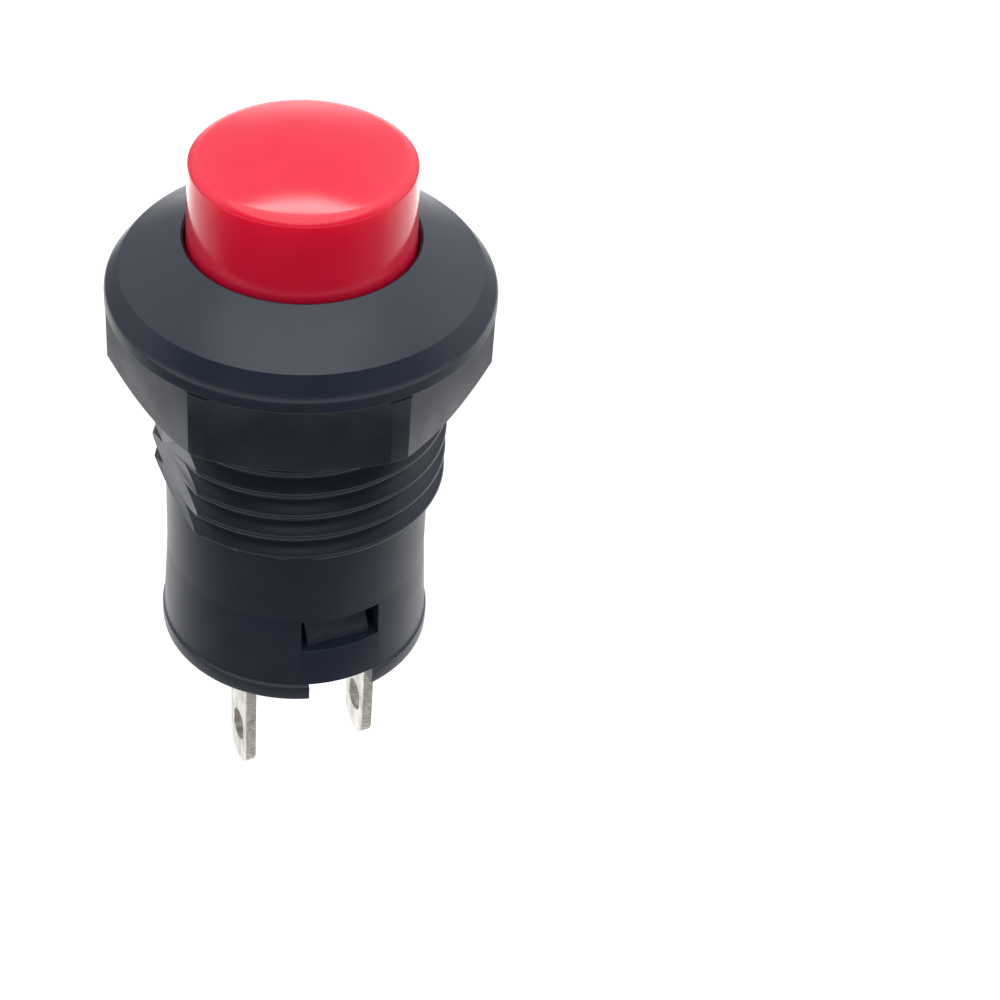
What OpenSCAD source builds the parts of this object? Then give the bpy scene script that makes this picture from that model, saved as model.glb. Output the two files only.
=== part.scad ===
// Panel-mount pushbutton switch: round button, threaded barrel, hex nut and two solder lugs.
// Z = 0 is the underside of the bezel, where it meets the panel. +Z points out through the button.
// The barrel, skirt and lugs hang below zero. The lugs stand apart along X.

/* [Bezel] */
// diameter of the bezel's rim
bezel_d = 17.8; // [16.4:0.1:24]
// height at which the rim's upright edge would meet its shoulder in a sharp corner
rim_h = 0.75; // [0.4:0.01:1.2]
// radius that rounds that corner
rim_round = 0.68; // [0.1:0.02:1]
// height at which the rim's shoulder ends and the cone begins
shoulder_h = 1.61; // [1.3:0.01:2.2]
// how far the shoulder leans in from the rim
shoulder_in = 0.66; // [0.2:0.02:1.2]
// height of the bezel where the cone meets the button's hole
bezel_h = 3.3; // [2.4:0.05:4.5]

/* [Barrel] */
// crest diameter of the barrel's thread
thread_d = 14; // [13.4:0.1:15]
// distance from one thread crest to the next
thread_pitch = 1.25; // [0.8:0.05:1.5]
// depth of the thread below its crests
thread_depth = 0.6; // [0.3:0.05:0.7]
// length of the threaded barrel below the bezel
barrel_len = 10.25; // [9.8:0.05:16]
// how deep the keying flat is cut into one side of the barrel
key_flat_cut = 0.82; // [0.3:0.02:0.95]

/* [Skirt] */
// diameter of the skirt just below the thread
skirt_d = 12.56; // [12.2:0.02:13]
// diameter of the thicker band at the skirt's lower edge
skirt_band_d = 13.14; // [12.9:0.02:13.6]
// length of the skirt below the thread
skirt_len = 9.25; // [9:0.05:14]
// width of each latch window
window_w = 3.9; // [3:0.1:5]
// height of each latch window
window_h = 1.8; // [1.5:0.05:2.4]
// width of the notch in the lower edge under each window
notch_w = 3.25; // [2:0.05:4]
// height of that notch
notch_h = 1; // [0.4:0.05:1.2]

/* [Button] */
// diameter of the button where it passes the bezel
cap_d = 10.36; // [9.6:0.02:10.5]
// how much slimmer the button is at its top edge
cap_draft = 0.24; // [0:0.02:0.8]
// how far the released button's top edge stands above the bezel
cap_rise = 3.98; // [3:0.02:5]
// how much the button's top bulges above its edge
cap_dome = 0.3; // [0:0.05:0.6]
// radius that rounds the button's top edge
cap_edge_r = 0.5; // [0.1:0.05:1]
// free gap between the button and the bezel's hole
cap_gap = 0.1; // [0.05:0.01:0.25]
// how far the button can be pressed
travel = 2.5; // [2:0.05:2.8]

/* [Nut] */
// how far the nut's turned corners stay inside the bezel's rim
nut_inset = 0.03; // [0:0.01:0.3]
// how much of each sharp corner of the hexagon is turned off
nut_corner_cut = 0.25; // [0.05:0.05:0.6]
// height of the nut
nut_h = 4.05; // [2.5:0.05:6]
// how far the nut is turned about the barrel
nut_turn = -21.2; // [-30:0.1:30]

/* [Terminals] */
// width of each solder lug
lug_w = 2.3; // [1.8:0.02:2.8]
// thickness of the lug strip
lug_t = 0.55; // [0.4:0.05:0.6]
// how much each face of a lug is raised at its root, where it passes the base
root_step = 0.07; // [0.03:0.01:0.1]
// how far that root shows below the skirt
root_drop = 0.65; // [0.3:0.05:2]
// how far the lugs stand out below the skirt
lug_len = 9.6; // [7:0.1:14]
// distance between the middles of the two lugs
lug_spacing = 6.44; // [6:0.02:6.8]
// how far the pair of lugs sits off the axis
lug_shift = 0.55; // [0:0.05:0.6]
// width of the wire eye in each lug
eye_w = 1.36; // [0.8:0.02:1.6]
// length of the wire eye
eye_len = 1.85; // [1.7:0.05:3]

/* [Contacts] */
// open gap between the moving and the fixed contacts
contact_gap = 1.7; // [1.2:0.05:1.95]
// diameter of the contact heads
contact_d = 1.4; // [1:0.05:1.5]
// thickness of the contact bridge
bridge_t = 0.4; // [0.3:0.05:0.5]
// width of the bridge's two arms
bridge_w = 2.4; // [1.8:0.1:2.6]

/* [Springs] */
// wire diameter of the return spring
return_wire = 0.5; // [0.3:0.05:0.6]
// turns of the return spring
return_turns = 6; // [5:1:7]
// wire diameter of the contact spring
contact_wire = 0.35; // [0.2:0.05:0.4]
// turns of the contact spring
contact_turns = 4; // [3:1:5]

/* [Hidden] */
$fn = 96;
run_fit = 0.05;      // radial clearance of a piece that slides
seat_fit = 0.03;     // clearance of a piece that is pushed in and stays
stop_gap = 0.02;     // what is left between two faces that meet at a stop
cut = 0.5;           // how far a cutting shape reaches past the face it cuts
clear = 0.1;         // space left round a shape that touches nothing
edge = 0.15;         // small chamfer or rounding on a moulded edge

// bezel, barrel and skirt
bezel_r = bezel_d / 2;
shoulder_r = bezel_r - shoulder_in;
cap_r = cap_d / 2;
cap_top_r = cap_r - cap_draft / 2;
hole_r = cap_r + cap_gap;
rim_lean = atan2(shoulder_in, shoulder_h - rim_h);   // of the shoulder, off the axis
rim_flat_h = rim_h - rim_round * tan(rim_lean / 2);  // where the rim's rounding begins
thread_r = thread_d / 2;
root_r = thread_r - thread_depth;
key_x = thread_r - key_flat_cut;
barrel_z = -barrel_len;
skirt_z = barrel_z - skirt_len;
skirt_r = skirt_d / 2;
band_r = skirt_band_d / 2;
band_h = 0.85;
band_step = 0.09;
flare_h = 5;
flare_top_z = skirt_z + flare_h;

// threads: rings at the pitch, counted up from the barrel's lower end
crest_flat = 0.2;
run_out = 0.34;
first_crest_z = barrel_z + run_out;
ring_count = floor((barrel_len - run_out - crest_flat) / thread_pitch);

// inside of the housing
guide_h = 2;                       // tube that guides the stem above the shelf
shelf_top_z = -5.75;
shelf_t = 2.5;
shelf_z = shelf_top_z - shelf_t;   // underside of the shelf
stem_r = 2;
guide_r = stem_r + run_fit;
guide_wall = 0.8;
chamber_r = 5.1;
socket_step = 0.3;
socket_r = chamber_r + socket_step;   // wider mouth that takes the terminal base
base_t = 1.9;
base_inset = 0.4;
base_z = skirt_z + base_inset;        // underside of the terminal base
base_top_z = base_z + base_t;
sill_h = 0.8;
window_z = base_top_z + sill_h;       // sill of the windows

// latches: tongues on the base whose hooks stand in the windows
latch_side = 0.4;
latch_w = window_w - 2 * latch_side;
latch_t = 1.2;
latch_h = sill_h + window_h - 0.4;
latch_root = 0.5;
hook_r = skirt_r - 0.5;
hook_edge = 0.35;

// button
cap_top_z = bezel_h + cap_rise;
cap_foot_edge = 0.2;
cap_roof_z = cap_top_z - 1.2;
cap_bottom_z = -1.25;
cap_hollow_r = cap_r - 1.05;
hub_r = 2.9;
hub_z = 1.75;
stud_r = 1.55;
stud_gap = 0.6;
stud_top_z = cap_roof_z - stud_gap;

// terminals and contacts, from the base upwards
pin_well = 1;                      // recess in the base that the stem's end dips into
pin_well_r = 1.8;
foot_top_z = base_top_z + lug_t;
head_h = 0.4;
fixed_top_z = foot_top_z + head_h;
moving_z = fixed_top_z + contact_gap;
bridge_z = moving_z + head_h;
bridge_top_z = bridge_z + bridge_t;
bridge_hub_r = 2.3;
bridge_play = 0.2;                 // from the bridge's corners to the chamber's wall
bridge_reach = sqrt(pow(chamber_r - bridge_play, 2) - pow(bridge_w / 2, 2));
bridge_end = 0.8;                  // bridge beyond the middle of each contact
contact_x = bridge_reach - bridge_end;
head_r = contact_d / 2;
head_round = 0.15;
shank_r = 0.4;
root_t = lug_t + 2 * root_step;
root_z = skirt_z - root_drop;
lug_end_z = skirt_z - lug_len;
eye_drop = 1.2;                    // middle of the eye above the round end's centre
eye_z = lug_end_z + lug_w / 2 + eye_drop;

// stem, its stop ring and its clip
ring_r = 2.9;
ring_gap = 2.8;
ring_t = 0.6;
ring_top_z = shelf_z - stop_gap;
ring_z = ring_top_z - ring_t;
step_gap = 0.48;
step_z = ring_z - step_gap;
pin_r = 1.2;
pin_edge = 0.25;
bore_r = pin_r + run_fit;
clip_r = 2.1;
clip_gap = 1.5;
clip_t = 0.4;
clip_z = bridge_z - clip_t;
pin_tail = 0.55;
pin_end_z = clip_z - pin_tail;
ring_groove_r = 1.6;
clip_groove_r = 1;

// springs
return_r = 3.4;
contact_r = 1.75;

// nut
nut_bore_r = thread_r + run_fit;
nut_corner_r = bezel_r - nut_inset;
nut_hex_r = nut_corner_r + nut_corner_cut;
nut_flat_r = nut_hex_r * cos(30);
nut_slope = tan(30);
nut_wall = nut_flat_r - nut_bore_r;
nut_edge = min(0.3, nut_wall / 3);       // chamfer at the mouths of the bore
nut_low_face_r = nut_flat_r - min(edge, nut_wall / 4);       // end faces, inside the
nut_top_face_r = nut_corner_r - min(0.5, nut_wall * 0.6);      // chamfer across the corners
nut_top_z = -stop_gap;
nut_z = nut_top_z - nut_h;

// one ring groove of the thread, seen as the points of its section from its upper crest down
function groove(crest_z) = [
    [thread_r, crest_z + thread_pitch - crest_flat / 2],
    [root_r, crest_z + thread_pitch / 2 + crest_flat / 2],
    [root_r, crest_z + thread_pitch / 2 - crest_flat / 2],
    [thread_r, crest_z + crest_flat / 2]];

// half section of the housing, outside from the button's hole down, then the inside back up
housing_section = concat(
    [[hole_r, bezel_h - edge], [hole_r + edge, bezel_h],
     [shoulder_r, shoulder_h]],
    [for (i = [5:-1:0]) let (a = rim_lean * i / 5) [
        bezel_r - rim_round * (1 - cos(a)), rim_flat_h + rim_round * sin(a)]],
    [[bezel_r, 0], [thread_r, 0]],
    [for (i = [ring_count - 1:-1:0]) each groove(first_crest_z + i * thread_pitch)],
    [[thread_r, first_crest_z - crest_flat / 2], [skirt_r, barrel_z],
     [skirt_r, flare_top_z], [band_r - band_step, skirt_z + band_h + edge],
     [band_r, skirt_z + band_h], [band_r, skirt_z + 2 * edge], [band_r - edge, skirt_z],
     [socket_r + edge, skirt_z], [socket_r, skirt_z + edge],
     [socket_r, base_top_z], [chamber_r, base_top_z],
     [chamber_r, shelf_z], [guide_r, shelf_z], [guide_r, shelf_top_z + guide_h],
     [guide_r + guide_wall, shelf_top_z + guide_h], [guide_r + guide_wall, shelf_top_z],
     [hole_r, shelf_top_z]]);

// bezel, threaded barrel and skirt in one moulding
module housing() color("#2a2e35") difference() {
    rotate_extrude() polygon(housing_section);
    translate([-key_x - thread_r, -thread_r - cut, barrel_z])
        cube([thread_r, 2 * (thread_r + cut), barrel_len]);
    for (side = [0, 180]) rotate([0, 0, side]) {
        translate([-window_w / 2, -band_r - cut, window_z])
            cube([window_w, band_r - guide_r, window_h]);
        translate([-notch_w / 2, -band_r - cut, skirt_z - cut])
            cube([notch_w, band_r - guide_r, notch_h + cut]);
    }
}

// half section of the turned nut blank: bore, end faces and the chamfers across the corners
nut_section = [
    [nut_bore_r, nut_z + nut_edge], [nut_bore_r + nut_edge, nut_z], [nut_low_face_r, nut_z],
    [nut_hex_r + clear, nut_z + (nut_hex_r + clear - nut_low_face_r) * nut_slope],
    [nut_hex_r + clear, nut_top_z - (nut_hex_r + clear - nut_top_face_r) * nut_slope],
    [nut_top_face_r, nut_top_z], [nut_bore_r + nut_edge, nut_top_z],
    [nut_bore_r, nut_top_z - nut_edge]];

// loose nut that clamps the panel against the bezel, its corners turned to the bezel's rim
module hex_nut() color("#33363c") intersection() {
    translate([0, 0, nut_z]) rotate([0, 0, nut_turn]) cylinder(r = nut_hex_r, h = nut_h, $fn = 6);
    translate([0, 0, nut_z]) cylinder(r = nut_corner_r, h = nut_h);
    rotate_extrude() polygon(nut_section);
}

// half section of the button, from the socket in its hub round to the top of its dome
cap_section = concat(
    [[0, stud_top_z + clear], [stud_r + seat_fit, stud_top_z + clear],
     [stud_r + seat_fit, hub_z], [hub_r, hub_z],
     [hub_r, cap_roof_z], [cap_hollow_r, cap_roof_z], [cap_hollow_r, cap_bottom_z],
     [cap_r - cap_foot_edge, cap_bottom_z], [cap_r, cap_bottom_z + cap_foot_edge],
     [cap_r, bezel_h]],
    [for (a = [0:15:75]) [
        cap_top_r - cap_edge_r + cap_edge_r * cos(a),
        cap_top_z - cap_edge_r + cap_edge_r * sin(a)]],
    [for (f = [1, 0.75, 0.5, 0.25, 0]) [
        (cap_top_r - cap_edge_r) * f, cap_top_z + cap_dome * (1 - f * f)]]);

// moulded button, hollow, with a hub that takes the stem
module button_cap() color("#c8142d") rotate_extrude() polygon(cap_section);

// stem that the button drives; it slides in the housing's guide
module plunger() color("#e6e2d6") rotate_extrude() polygon([
    [0, stud_top_z], [stud_r - edge, stud_top_z], [stud_r, stud_top_z - edge],
    [stud_r, hub_z], [stem_r, hub_z],
    [stem_r, ring_top_z], [ring_groove_r, ring_top_z],
    [ring_groove_r, ring_z], [stem_r, ring_z],
    [stem_r, step_z], [pin_r, step_z],
    [pin_r, bridge_z], [clip_groove_r, bridge_z],
    [clip_groove_r, clip_z], [pin_r, clip_z],
    [pin_r, pin_end_z + pin_edge], [pin_r - pin_edge, pin_end_z], [0, pin_end_z]]);

// open ring in the stem's upper groove; it stops the button at the shelf
module stop_ring() color("#9a9c9e") translate([0, 0, ring_z]) difference() {
    cylinder(r = ring_r, h = ring_t);
    translate([0, 0, -cut]) cylinder(r = ring_groove_r + seat_fit, h = ring_t + 2 * cut);
    translate([0, -ring_gap / 2, -cut]) cube([ring_r + cut, ring_gap, ring_t + 2 * cut]);
}

// round wire coil: the level section of a helical wire, twisted up its length
module coil(mid_r, wire_d, turns, z_low, z_high) {
    pitch = (z_high - z_low) / turns;
    reach = 360 * wire_d / 2 / pitch;
    w = wire_d / 2;
    steps = [-0.96, -0.75, -0.4, 0, 0.4, 0.75, 0.96];
    outer = [for (s = steps) let (q = mid_r + w * sqrt(1 - s * s))
        [q * cos(s * reach), q * sin(s * reach)]];
    inner = [for (i = [6:-1:0]) let (s = steps[i], q = mid_r - w * sqrt(1 - s * s))
        [q * cos(s * reach), q * sin(s * reach)]];
    translate([0, 0, z_low])
        linear_extrude(height = z_high - z_low, twist = -360 * turns, slices = 12 * turns,
            segments = 14) polygon(concat(outer, inner));
}

module return_spring() color("#b4b6b8")
    coil(return_r, return_wire, return_turns, shelf_top_z, cap_roof_z);

module contact_spring() color("#c9b27a")
    coil(contact_r, contact_wire, contact_turns, bridge_top_z, step_z);

// strip that joins the two fixed contacts; it slides on the stem's pin
module contact_bridge() color("#c8a24a") translate([0, 0, bridge_z]) difference() {
    union() {
        cylinder(r = bridge_hub_r, h = bridge_t);
        translate([-bridge_reach, -bridge_w / 2, 0]) cube([2 * bridge_reach, bridge_w, bridge_t]);
    }
    translate([0, 0, -cut]) cylinder(r = bore_r, h = bridge_t + 2 * cut);
    for (side = [-1, 1]) translate([side * contact_x, 0, -cut])
        cylinder(r = shank_r + seat_fit, h = bridge_t + 2 * cut);
}

// contact rivet standing on its head: domed head from the origin up, shank below it
module rivet(shank) rotate_extrude() polygon([
    [0, -shank], [shank_r, -shank], [shank_r, 0], [head_r, 0],
    [head_r, head_h - head_round], [head_r * 0.65, head_h - head_round / 5],
    [head_r * 0.35, head_h], [0, head_h]]);

module moving_contact(side) color("#d8d8d4")
    translate([side * contact_x, 0, bridge_z]) mirror([0, 0, 1]) rivet(bridge_t);

module moving_contact_left() moving_contact(-1);

module moving_contact_right() moving_contact(1);

// push-on washer under the bridge, in the pin's groove
module bridge_clip() color("#9a9c9e") translate([0, 0, clip_z]) difference() {
    cylinder(r = clip_r, h = clip_t);
    translate([0, 0, -cut]) cylinder(r = clip_groove_r + seat_fit, h = clip_t + 2 * cut);
    translate([0, -clip_gap / 2, -cut]) cube([clip_r + cut, clip_gap, clip_t + 2 * cut]);
}

function lug_x(side) = lug_shift + side * lug_spacing / 2;

// moulded base that closes the housing, carries the terminals and latches in the windows
module terminal_base() color("#24272c") {
    difference() {
        translate([0, 0, base_z]) cylinder(r = socket_r - run_fit, h = base_t);
        translate([0, 0, base_top_z - pin_well]) cylinder(r = pin_well_r, h = pin_well + cut);
        for (side = [-1, 1])
            translate([lug_x(side) - root_t / 2 - seat_fit, -lug_w / 2 - seat_fit, base_z - cut])
                cube([root_t + 2 * seat_fit, lug_w + 2 * seat_fit, base_t + 2 * cut]);
    }
    for (side = [0, 180]) rotate([0, 0, side]) latch();
}

// springy tongue that stands on the base, with a hook that snaps over the window's sill
module latch() {
    intersection() {
        translate([-latch_w / 2, -chamber_r, base_top_z - cut]) cube([latch_w, latch_t, latch_h + cut]);
        translate([0, 0, base_top_z - cut]) cylinder(r = chamber_r - edge, h = latch_h + cut);
    }
    translate([-latch_w / 2, 0, window_z]) rotate([90, 0, 90]) linear_extrude(latch_w) polygon([
        [-chamber_r + latch_root, stop_gap], [-hook_r, stop_gap], [-hook_r, hook_edge],
        [-chamber_r + edge, window_h - hook_edge], [-chamber_r + latch_root, window_h - hook_edge]]);
}

// flat strip: a foot on the base, a root through it, and a blade with a round end and a wire eye
module terminal(side) color("#cfcac2") difference() {
    union() {
        translate([lug_x(side) - root_t / 2, -lug_w / 2, root_z])
            cube([root_t, lug_w, foot_top_z - root_z]);
        translate([lug_x(side) - lug_t / 2, -lug_w / 2, lug_end_z + lug_w / 2])
            cube([lug_t, lug_w, root_z - lug_end_z - lug_w / 2 + cut]);
        translate([lug_x(side) - lug_t / 2, 0, lug_end_z + lug_w / 2]) rotate([0, 90, 0])
            cylinder(r = lug_w / 2, h = lug_t);
        foot_in = min(abs(lug_x(side)) - root_t / 2, contact_x - head_r - clear);
        foot_out = contact_x + head_r + clear;
        translate([side > 0 ? foot_in : -foot_out, -lug_w / 2, base_top_z])
            cube([foot_out - foot_in, lug_w, lug_t]);
    }
    translate([lug_x(side) - lug_t / 2 - cut, 0, eye_z]) {
        translate([0, -eye_w / 2, -(eye_len - eye_w) / 2])
            cube([lug_t + 2 * cut, eye_w, eye_len - eye_w]);
        for (end = [-1, 1]) translate([0, 0, end * (eye_len - eye_w) / 2]) rotate([0, 90, 0])
            cylinder(r = eye_w / 2, h = lug_t + 2 * cut);
    }
    translate([side * contact_x, 0, base_top_z])
        cylinder(r = shank_r + seat_fit, h = lug_t + cut);
}

module terminal_left() terminal(-1);

module terminal_right() terminal(1);

module fixed_contact(side) color("#d8d8d4")
    translate([side * contact_x, 0, foot_top_z]) rivet(lug_t);

module fixed_contact_left() fixed_contact(-1);

module fixed_contact_right() fixed_contact(1);

housing();
hex_nut();
button_cap();
plunger();
stop_ring();
return_spring();
contact_spring();
contact_bridge();
moving_contact_left();
moving_contact_right();
bridge_clip();
terminal_base();
terminal_left();
terminal_right();
fixed_contact_left();
fixed_contact_right();
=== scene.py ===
import math

import bmesh
import bpy
from mathutils import Matrix, Vector


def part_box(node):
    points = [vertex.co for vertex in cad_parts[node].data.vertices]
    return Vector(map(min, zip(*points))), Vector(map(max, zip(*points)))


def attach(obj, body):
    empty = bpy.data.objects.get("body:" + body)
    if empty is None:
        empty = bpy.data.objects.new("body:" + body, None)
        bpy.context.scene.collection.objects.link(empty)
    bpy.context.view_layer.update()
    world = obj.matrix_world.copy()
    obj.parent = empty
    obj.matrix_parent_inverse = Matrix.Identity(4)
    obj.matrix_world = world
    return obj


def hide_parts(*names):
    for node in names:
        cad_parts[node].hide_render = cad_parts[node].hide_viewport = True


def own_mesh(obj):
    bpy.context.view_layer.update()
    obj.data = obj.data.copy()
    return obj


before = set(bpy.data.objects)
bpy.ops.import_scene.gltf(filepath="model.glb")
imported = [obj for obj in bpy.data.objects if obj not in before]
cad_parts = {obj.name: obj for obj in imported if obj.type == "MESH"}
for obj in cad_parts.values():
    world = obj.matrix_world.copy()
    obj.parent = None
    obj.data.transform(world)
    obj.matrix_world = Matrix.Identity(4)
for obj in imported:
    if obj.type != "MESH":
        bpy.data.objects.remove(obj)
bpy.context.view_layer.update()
mm = 0.001
studioTurn = math.radians(-21.5)      # the studio stands turned about the part's axis
smoothAngle = 30                      # faces that meet at fewer degrees shade as one


# lowest and highest corner of a CAD node, in millimetres
def boxOf(node):
    low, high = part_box(node)
    return low / mm, high / mm


# sRGB hex colour as linear light
def linear(code):
    values = []
    for i in (1, 3, 5):
        v = int(code[i:i + 2], 16) / 255
        values.append(v / 12.92 if v <= 0.04045 else ((v + 0.055) / 1.055) ** 2.4)
    return (*values, 1)


# node with its settings; each socket takes a value or a link from another node
def addNode(tree, kind, settings=None, sockets=None):
    node = tree.nodes.new(kind)
    for name, value in (settings or {}).items():
        setattr(node, name, value)
    for name, value in (sockets or {}).items():
        if isinstance(value, bpy.types.NodeSocket):
            tree.links.new(value, node.inputs[name])
        else:
            node.inputs[name].default_value = value
    return node


def newMaterial(name):
    material = bpy.data.materials.new(name)
    material.use_nodes = True
    tree = material.node_tree
    tree.nodes.clear()
    return material, tree


# meshes are drawn in millimetres and come out in metres
def meshObject(name, bm, angle=smoothAngle):
    bmesh.ops.transform(bm, matrix=Matrix.Scale(mm, 4), verts=bm.verts)
    bmesh.ops.recalc_face_normals(bm, faces=bm.faces)
    mesh = bpy.data.meshes.new(name)
    bm.to_mesh(mesh)
    bm.free()
    piece = bpy.data.objects.new(name, mesh)
    bpy.context.scene.collection.objects.link(piece)
    mesh.shade_smooth()
    mesh.set_sharp_from_angle(angle=math.radians(angle))
    return piece


# chain of (r, z, rounding) corners to (r, z) points, each corner an arc of its rounding
def filleted(corners, steps=5):
    points = [Vector((r, z)) for r, z, rounding in corners]
    chain = []
    for i, (p, (r, z, radius)) in enumerate(zip(points, corners)):
        if radius == 0:
            chain.append((r, z))
            continue
        a, b = (points[i - 1] - p).normalized(), (points[i + 1] - p).normalized()
        half = a.angle(b) / 2
        reach = radius / math.tan(half)
        centre = p + (a + b).normalized() * (radius / math.sin(half))
        start, end = p + a * reach - centre, p + b * reach - centre
        sweep = start.angle(end)
        for k in range(steps + 1):
            t = k / steps
            side = (start * math.sin((1 - t) * sweep) + end * math.sin(t * sweep)) / math.sin(sweep)
            chain.append(tuple(centre + side))
    return chain


# turns a chain of (r, z) points about Z; a point on the axis becomes one vertex
def revolved(bm, section, columns, closed=False):
    rings = []
    for r, z in section:
        if r < 1e-6:
            rings.append([bm.verts.new((0, 0, z))] * columns)
            continue
        rings.append([bm.verts.new((r * math.cos(a), r * math.sin(a), z))
                      for a in (2 * math.pi * k / columns for k in range(columns))])
    pairs = list(zip(rings, rings[1:])) + ([(rings[-1], rings[0])] if closed else [])
    for low, high in pairs:
        for k in range(columns):
            n = (k + 1) % columns
            corners = []
            for v in (low[k], low[n], high[n], high[k]):
                if v not in corners:
                    corners.append(v)
            if len(corners) > 2:
                bm.faces.new(corners)


# turns what the modifiers give into the piece's own mesh
def applyModifiers(piece):
    bpy.context.view_layer.update()
    done = bpy.data.meshes.new_from_object(
        piece.evaluated_get(bpy.context.evaluated_depsgraph_get()))
    piece.modifiers.clear()
    piece.data = done
    done.shade_smooth()
    done.set_sharp_from_angle(angle=math.radians(smoothAngle))


# cuts the piece exactly, then takes the tool away
def boolean(piece, tool, operation):
    change = piece.modifiers.new("cut", "BOOLEAN")
    change.operation, change.object, change.solver = operation, tool, "EXACT"
    applyModifiers(piece)
    bpy.data.objects.remove(tool)


# block between two corners, its edges eased where bevelBy is given
def blockMesh(low, high, bevelBy=0):
    bm = bmesh.new()
    bmesh.ops.create_cube(bm, size=1)
    bmesh.ops.scale(bm, vec=Vector(high) - Vector(low), verts=bm.verts)
    bmesh.ops.translate(bm, vec=(Vector(high) + Vector(low)) / 2, verts=bm.verts)
    if bevelBy:
        bmesh.ops.bevel(bm, geom=bm.edges[:], offset=bevelBy, segments=2, affect="EDGES",
                        profile=0.5)
    return bm


# closed form between two outlines with the same number of points
def spanned(name, first, second):
    bm = bmesh.new()
    ends = [[bm.verts.new(point) for point in outline] for outline in (first, second)]
    for k in range(len(first)):
        n = (k + 1) % len(first)
        bm.faces.new((ends[0][k], ends[0][n], ends[1][n], ends[1][k]))
    bm.faces.new(ends[0])
    bm.faces.new(ends[1])
    return meshObject(name, bm)


# material, moving body, colour slot (not used) and the CAD nodes that the piece takes the place of
def finishPiece(piece, body, slot, material, *nodes):
    piece.data.materials.clear()
    piece.data.materials.append(material)
    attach(piece, body)
    if nodes:
        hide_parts(*nodes)


# straight-line reading of a short list of (position, value) pairs
def between(pairs, at):
    if at <= pairs[0][0]:
        return pairs[0][1]
    for (a, u), (b, v) in zip(pairs, pairs[1:]):
        if at <= b:
            return u + (v - u) * (at - a) / (b - a)
    return pairs[-1][1]


# place of the camera in millimetres and degrees, before the studio's turn; what it can see
# starts and ends at nearest and farthest, in metres
view = {"distance": 112.533, "elevation": 35.618, "lift": 0.25,
        "yaw": 1.314, "pitch": -39.322, "roll": -0.369,
        "lens": 89.395, "sensor": 36, "shiftX": 0.2467, "shiftY": -0.0521,
        "nearest": 0.01, "farthest": 10}

camera = bpy.data.objects.new("camera", bpy.data.cameras.new("camera"))
bpy.context.scene.collection.objects.link(camera)
bpy.context.scene.camera = camera
camera.data.sensor_width = view["sensor"]
camera.data.lens = view["lens"]
camera.data.shift_x = view["shiftX"]
camera.data.shift_y = view["shiftY"]
camera.data.clip_start = view["nearest"]
camera.data.clip_end = view["farthest"]
rise = math.radians(view["elevation"])
place = Vector((0, -math.cos(rise), math.sin(rise))) * view["distance"]
place.z += view["lift"]
aim = (Matrix.Rotation(math.radians(view["yaw"]), 3, "Z")
       @ Matrix.Rotation(math.radians(view["pitch"]), 3, "X")
       @ Matrix.Rotation(math.radians(view["roll"]), 3, "Y"))
axes = Matrix((aim.col[0], aim.col[2], -aim.col[1])).transposed()
camera.matrix_world = (Matrix.Rotation(studioTurn, 4, "Z")
                       @ Matrix.Translation(place * mm) @ axes.to_4x4())
print("camera done")


studio = {"horizon": 0.75, "zenith": 0.7, "floorDrop": 46, "floorSize": 1500,
          "floorGlow": 0.8, "floorPaint": "#a5a5a5"}
# azimuth, elevation, distance, width, height and radiance of each light
lamps = {"overhead_box": (0, 90, 150, 210, 210, 1.2),
         "left_box": (-102, 14, 150, 110, 110, 0.75),
         "right_box": (102, 14, 150, 110, 110, 1.1)}


# 1 for rays that show the surroundings, 0 for rays that only light the part
def visibleToEye(tree):
    path = addNode(tree, "ShaderNodeLightPath")
    total = path.outputs["Is Camera Ray"]
    for name in ("Is Glossy Ray", "Is Transmission Ray"):
        total = addNode(tree, "ShaderNodeMath", {"operation": "MAXIMUM"},
                        {0: total, 1: path.outputs[name]}).outputs[0]
    return total


world = bpy.data.worlds.new("studio")
world.use_nodes = True
bpy.context.scene.world = world
sky = world.node_tree
sky.nodes.clear()
# soft room light that changes a little from the horizon to the zenith
heading = addNode(sky, "ShaderNodeSeparateXYZ", {}, {
    0: addNode(sky, "ShaderNodeTexCoord").outputs["Generated"]})
dome = addNode(sky, "ShaderNodeMapRange", {}, {
    "Value": heading.outputs["Z"], "To Min": studio["horizon"], "To Max": studio["zenith"]})
glow = addNode(sky, "ShaderNodeMapRange", {}, {
    "Value": visibleToEye(sky), "To Min": dome.outputs["Result"], "To Max": 1})
back = addNode(sky, "ShaderNodeBackground", {}, {
    "Color": (1, 1, 1, 1), "Strength": glow.outputs["Result"]})
addNode(sky, "ShaderNodeOutputWorld", {}, {"Surface": back.outputs[0]})


# from the part towards a direction; azimuth 0 is on the camera's side, 180 behind the part
def towards(azimuth, elevation):
    a, e = math.radians(azimuth) + studioTurn, math.radians(elevation)
    return Vector((math.sin(a) * math.cos(e), -math.cos(a) * math.cos(e), math.sin(e)))


# area light aimed at the part
def softBox(name, azimuth, elevation, distance, width, height, radiance):
    light = bpy.data.lights.new(name, "AREA")
    light.shape = "RECTANGLE"
    light.size, light.size_y = width * mm, height * mm
    light.energy = radiance * math.pi * light.size * light.size_y
    lamp = bpy.data.objects.new(name, light)
    bpy.context.scene.collection.objects.link(lamp)
    out = towards(azimuth, elevation)
    lamp.location = out * distance * mm
    lamp.rotation_mode = "QUATERNION"
    lamp.rotation_quaternion = out.to_track_quat("Z", "Y")
    lamp.visible_camera = False


for name, setting in lamps.items():
    softBox(name, *setting)

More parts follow.
